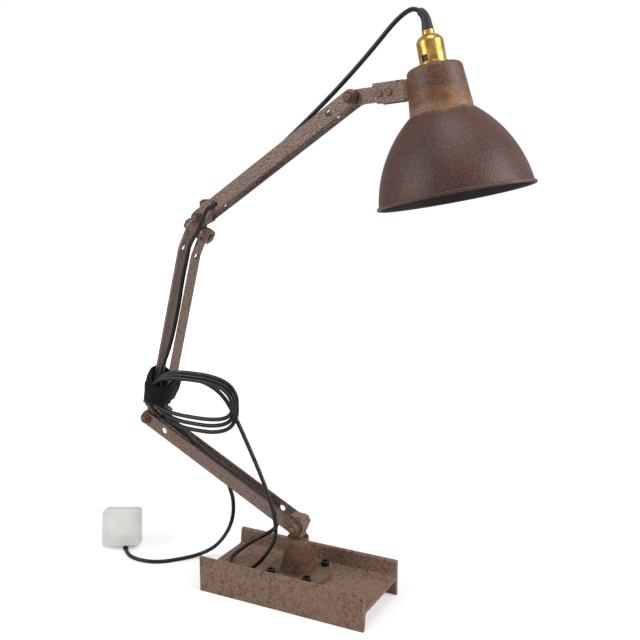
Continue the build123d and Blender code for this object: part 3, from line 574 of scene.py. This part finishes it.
# Arms. Three pairs of flat steel bars in dark brown hammered paint, which shows
# small domes, paler where they catch the light and rusty where it has worn.
# Rusty cast knuckles, bolts and nuts join them, with fibre washers between.
def hammered(name, dark, middle, pale, rust, depth, rough, metal=0.0):
    """Hammered paint: low domes with a dark crackle between, and worn rust."""
    dome = 0.0021
    made = Finish(name)
    domes = made.cells(1 / dome, "SMOOTH_F1")
    crackle = made.cells(1 / dome, "DISTANCE_TO_EDGE").between(0.0, 0.10)
    cloud = made.noise(22, 5, 0.6)
    specks = made.noise(420, 4, 0.65)
    ground = made.blend(cloud.between(0.35, 0.65), tint(dark), tint(middle))
    tops = (1 - domes.between(0.1, 0.6)) * 0.5
    domed = made.blend(tops, ground, tint(pale))
    cracked = made.blend(crackle * 0.7 + 0.3, tint(dark), domed)
    rusting = specks.between(0.56, 0.74) * cloud.between(0.45, 0.62) * 0.8
    rusted = made.blend(rusting, cracked, tint(rust))
    edges = made.worn() * specks.between(0.3, 0.55)
    made.feed(
        colour=made.blend(edges, rusted, tint("8a7468")),
        rough=rough + 0.25 * specks,
        normal=made.bump(1 - domes + specks * 0.3, 0.45 * depth, dome * 0.35),
        gloss=0.5,
        metal=metal,
    )
    return made


arm_paint = hammered(
    "arm_paint", "2d2120", "4a3c3a", "827673", "5c3a2c", 1.1, 0.28, 0.4
)
refinish(
    arm_paint, "lower_arm_front_bar", "lower_arm_back_bar", "middle_arm_left_bar",
    "middle_arm_right_bar", "upper_arm_front_bar", "upper_arm_back_bar",
    "head_tongue", "shade_bracket",
)
refinish(knuckle_rust, "lower_knuckle", "upper_knuckle", "shade_saddle")
refinish(
    fastener_rust, "lower_arm_bolts", "lower_arm_nuts", "middle_arm_bolts",
    "middle_arm_nuts", "upper_arm_bolts", "upper_arm_nuts", "bracket_rivets",
    "saddle_rivets",
)
refinish(fibre, "lower_arm_washers", "middle_arm_washers", "upper_arm_washers")

stud_face, stud_sides = -0.0166, 24
stud_profile = ((0.0036, -0.0003), (0.0036, 0.0014), (0.0029, 0.0022), (0.0012, 0.0025))
for name, body, (x, z) in (
    ("lower_arm_stud_1", "lower_arm", (0, 0.0875)),
    ("lower_arm_stud_2", "lower_arm", (-0.2142, 0.1957)),
    ("upper_arm_stud_1", "upper_arm", (-0.1279, 0.4545)),
    ("upper_arm_stud_2", "upper_arm", (0.0710, 0.5887)),
):
    stud_angles = [2 * pi * step / stud_sides for step in range(stud_sides)]
    stud = skin(name, [
        [(x + radius * cos(a), stud_face - lift, z + radius * sin(a)) for a in stud_angles]
        for radius, lift in stud_profile
    ])
    stud.data.materials.append(fastener_rust.material)
    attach(stud, body)


# Strap. A black hook-and-loop band, creased and tallest on the left, is pulled
# round the middle bars and the bundle of lead; its free end laps over in front.
strap_hook = Finish("strap_hook")
weave = strap_hook.noise(700, 3, 0.7)
folds = strap_hook.noise(60, 4)
strap_hook.feed(
    colour=strap_hook.blend(
        folds.between(0.35, 0.7), tint("0c0c0f"), tint("1c1c22")
    ),
    rough=0.85,
    normal=strap_hook.bump(weave + folds * 1.6, 0.6, 0.0009),
    sheen=0.12,
    sheen_rough=0.5,
    gloss=0.2,
)
strap_lean, strap_raise, strap_width = radians(26), 0.0205, 0.020
strap_up = Vector((sin(strap_lean), 0, cos(strap_lean)))
strap_across = Vector((cos(strap_lean), 0, -sin(strap_lean)))
strap_foot = Vector((-0.20677, 0, 0.21099)) + strap_up * strap_raise
strap_outline = [
    (-16.6, 11.4), (-8, 12.2), (2, 12.2), (12, 11.6), (16.6, 8.5), (18.0, 0),
    (18.4, -8), (17.6, -16), (15.8, -24), (13.2, -31), (8.5, -37.2), (2.5, -38.6),
    (-2.2, -35), (-6.0, -27), (-11.2, -17), (-15.8, -9), (-17.8, 0), (-17.6, 7),
]


def strap_point(turn, along, lift):
    """A point on the band: turn goes once round the outline, which is in mm,
    along is 0 at the lower edge and 1 at the upper, lift is mm outwards."""
    spot = (turn % 1) * len(strap_outline)
    index, share = int(spot), spot % 1
    p0, p1, p2, p3 = (
        Vector(strap_outline[(index + near) % len(strap_outline)])
        for near in (-1, 0, 1, 2)
    )
    flat = 0.5 * (
        2 * p1 + (p2 - p0) * share + (2 * p0 - 5 * p1 + 4 * p2 - p3) * share ** 2
        + (3 * p1 - p0 - 3 * p2 + p3) * share ** 3
    )
    out = (flat - Vector((1, -12))).normalized()
    crease = 0.5 * sin(turn * 2 * pi * 7 + along * 5) * (1 if lift > 0 else 0.3)
    flat = flat + out * (lift + crease)
    in_front = min(max((-flat.y - 4) / 10, 0), 1)
    flat.x += 4.4 * (0.5 - along) * in_front
    flat.x -= 4.0 * max(along - 0.6, 0) * (1 if flat.x < 4 else 0.4)
    level_part = (strap_across * flat.x + Vector((0, 1, 0)) * flat.y) / 1000
    return strap_foot + level_part + strap_up * strap_width * along


strap_rows, strap_rounds = 9, 96
strap_thick, strap_bulge, tallest = 2.0, 0.5, 0.90
edges = [row / (strap_rows - 1) for row in range(strap_rows)]
profile = [(edge, strap_bulge * sin(pi * edge)) for edge in edges]
profile += [(edge, -strap_thick) for edge in edges[::-1]]
strap_rings = []
for step in range(strap_rounds):
    turn = step / strap_rounds
    left = 0.5 + 0.5 * cos(2 * pi * (turn - tallest))
    strap_rings.append([
        strap_point(turn, -0.05 + edge * (1.12 + 0.34 * left), lift)
        for edge, lift in profile
    ])
strap = skin("lead_strap", strap_rings, closed=True)
strap.data.materials.append(strap_hook.material)
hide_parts("cord_strap")
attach(strap, "middle_arm")

lap_steps, lap_start, lap_run, lap_thick = 64, 0.30, 0.72, 1.9
lap_edges = (0.0, 0.04, 0.25, 0.5, 0.75, 0.96, 1.0)
lap_rings = []
for step in range(lap_steps + 1):
    share = step / lap_steps
    thick = lap_thick * min(1, step / 3, (lap_steps - step) / 2 + 0.4)
    ring = [
        (edge, 0.3 + thick * (0.55 if edge in (0.0, 1.0) else 1)) for edge in lap_edges
    ]
    ring += [(edge, 0.1) for edge in lap_edges[::-1]]
    slope = -0.10 + 0.42 * share
    lap_rings.append([
        strap_point(lap_start + lap_run * share, slope + 0.95 * edge, lift)
        for edge, lift in ring
    ])
strap_end = skin("strap_end", lap_rings)
strap_end.data.materials.append(strap_hook.material)
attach(strap_end, "middle_arm")


# Lamp holder. Turned and pressed brass, gone golden brown: barrel with a
# window, shoulder ring, domed cap and nipple, and a short rubber sleeve that
# narrows onto the lead.
holder_brass = Finish("holder_brass")
tarnish = holder_brass.noise(120, 5, 0.65)
holder_brass.feed(
    colour=holder_brass.blend(
        tarnish.between(0.35, 0.75), tint("cfa85e"), tint("8d6831")
    ),
    rough=0.2 + 0.2 * tarnish,
    metal=1.0,
    normal=holder_brass.bump(tarnish, 0.12, 0.0004),
)
block_plastic = Finish("block_plastic")
block_plastic.feed(
    colour=block_plastic.blend(
        block_plastic.noise(200, 3), tint("241c14"), tint("3a2d20")
    ),
    rough=0.5,
)
refinish(
    holder_brass, "shade_ring", "holder_shoulder_ring", "holder_barrel",
    "holder_cap", "holder_nipple",
)
refinish(block_plastic, "holder_block")
refinish(pin_brass, "holder_contacts")

sleeve_foot, sleeve_length = Vector((0.1524, 0.0016, 0.6538)), 0.0215
sleeve_line = [
    sleeve_foot + (lead_line[0] - sleeve_foot) * (step / 8) for step in range(8)
]
for point in lead_line:
    sleeve_line.append(point)
    if run_length(sleeve_line) > sleeve_length:
        break
sleeve_low, sleeve_taper = 0.0062, 0.0020
sleeve_last = len(sleeve_line) - 1
sleeve_radii = [
    sleeve_low - sleeve_taper * (step / sleeve_last) for step in range(sleeve_last + 1)
]
sleeve_radii[0], sleeve_radii[-1] = 0.0058, 0.0034
sleeve = tube("lead_sleeve", sleeve_line, sleeve_radii, 28)
sleeve.data.materials.append(sleeve_rubber.material)
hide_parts("strain_relief")
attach(sleeve, "head")


# Shade. Spun steel, rusty brown with a hammered skin outside, ochre where the paint has
# gone from the neck;
# inside, a darker, smoother finish whose near-black colour is painted shade.
shade_tilt, shade_nod = radians(12.7), radians(2.5)
shade_up = Vector((-sin(shade_tilt), sin(shade_nod), cos(shade_tilt))).normalized()
neck_top, neck_length = Vector((0.1605, 0, 0.6174)), 0.047
seam_height = (neck_top - shade_up * neck_length).dot(shade_up)


def shade_finish(name, dark, middle, pale, rust, seam_low, seam_high):
    """Shade paint that turns ochre near the seam between neck and bell."""
    made = hammered(name, dark, middle, pale, rust, 0.9, 0.36)
    along = made.node(
        "ShaderNodeVectorMath",
        {"operation": "DOT_PRODUCT"},
        {0: made.place(), 1: tuple(shade_up)},
        "Value",
    ) - seam_height
    ragged = along + (made.noise(45, 5, 0.6) - 0.5) * 0.022
    band = ragged.between(seam_low, seam_low + 0.004)
    band = band * (1 - ragged.between(seam_high - 0.006, seam_high))
    streaks = made.noise(30, 4, 0.6, (1.0, 1.0, 0.25)).between(0.5, 0.72)
    ochre = made.blend(
        made.noise(160, 4).between(0.35, 0.65), tint("6e3f18"), tint("9c6626")
    )
    mask = band * (0.35 + 0.55 * streaks)
    made.feed(colour=made.blend(mask, made.colour(), ochre))
    return made


shade_paint = shade_finish(
    "shade_paint", "341a12", "4e2a1c", "6e4737", "7a4522", -0.006, 0.012
)
neck_paint = shade_finish(
    "neck_paint", "42251a", "65402e", "84604c", "8a5428", -0.010, 0.024
)
refinish(shade_paint, "shade")
refinish(neck_paint, "shade_neck")

# The inside faces' near-black colour is painted shade: it stands in for the shade inside
# the bell.
inside_painted_shade = Finish("inside_painted_shade")
inside_painted_shade.feed(
    colour=inside_painted_shade.blend(
        inside_painted_shade.noise(60, 5), tint("1c1310"), tint("32211b")
    ),
    rough=0.5,
    normal=inside_painted_shade.bump(inside_painted_shade.noise(300, 3), 0.2, 0.0004),
)
facing_in = -0.2
for node in ("shade", "shade_neck"):
    mesh = frame["nodes"][node].data
    mesh.materials.append(inside_painted_shade.material)
    for face in mesh.polygons:
        spoke = face.center - neck_top
        spoke -= shade_up * spoke.dot(shade_up)
        if face.normal.dot(spoke) < facing_in * spoke.length:
            face.material_index = 1


# Floor and light. A plain floor that fades to white away from the lamp, a soft
# light on the left, one on the right, one above, and an even sky.
floor_corners = [(-6, -6, 0), (6, -6, 0), (6, 6, 0), (-6, 6, 0)]
floor = piece("floor", floor_corners, [(0, 1, 2, 3)], smooth=False)
floor_paint = Finish("floor_paint")
floor_far = floor_paint.node(
    "ShaderNodeVectorMath", {"operation": "LENGTH"}, {0: floor_paint.place()}, "Value"
)
floor_seen = floor_paint.node("ShaderNodeLightPath", {}, {}, "Is Camera Ray")
floor_glow = floor_seen * (0.40 + 0.60 * floor_far.between(0.45, 1.6))
floor_paint.feed(
    colour=tint("f4f4f3"),
    rough=0.9,
    gloss=0.1,
    glow=floor_paint.blend(floor_glow, (0, 0, 0, 1), (1, 1, 1, 1)),
    glow_power=1.0,
)
floor.data.materials.append(floor_paint.material)

sky = bpy.data.worlds.new("sky")
bpy.context.scene.world = sky
sky.use_nodes = True
sky_tree = sky.node_tree
background = sky_tree.nodes["Background"]
background.inputs["Color"].default_value = (1, 1, 1, 1)
sky_rays = sky_tree.nodes.new("ShaderNodeLightPath")


def sky_math(operation, first, second):
    """A Math node on the sky's sockets; second may be a number."""
    made = sky_tree.nodes.new("ShaderNodeMath")
    made.operation = operation
    sky_tree.links.new(first, made.inputs[0])
    if isinstance(second, float):
        made.inputs[1].default_value = second
    else:
        sky_tree.links.new(second, made.inputs[1])
    return made.outputs[0]


sky_lit, sky_mirrored, sky_seen = 0.28, 0.6, 1.0
seen = sky_math(
    "MAXIMUM", sky_rays.outputs["Is Camera Ray"], sky_rays.outputs["Is Transmission Ray"]
)
strength = sky_tree.nodes.new("ShaderNodeMapRange")
strength.inputs["To Min"].default_value = sky_lit
strength.inputs["To Max"].default_value = sky_seen
sky_tree.links.new(seen, strength.inputs["Value"])
mirrored = sky_math("MULTIPLY", sky_rays.outputs["Is Glossy Ray"], sky_mirrored)
sky_power = sky_math("MAXIMUM", strength.outputs[0], mirrored)
sky_tree.links.new(sky_power, background.inputs["Strength"])

for name, spot, aim, size, power in (
    ("lamp_left", (-1.2, -1.3, 1.2), (0, 0, 0.35), 1.2, 15),
    ("lamp_right", (1.7, 0.1, 1.2), (0.05, 0, 0.35), 1.2, 21),
    ("lamp_above", (0.2, -0.3, 2.1), (0, 0, 0.3), 1.0, 10),
):
    light = bpy.data.lights.new(name, "AREA")
    light.shape = "DISK"
    light.size = size
    light.energy = power
    lamp = bpy.data.objects.new(name, light)
    lamp.location = spot
    lamp.rotation_euler = (Vector(aim) - Vector(spot)).to_track_quat("-Z", "Y").to_euler()
    bpy.context.collection.objects.link(lamp)

bpy.context.scene.view_settings.view_transform = "Standard"
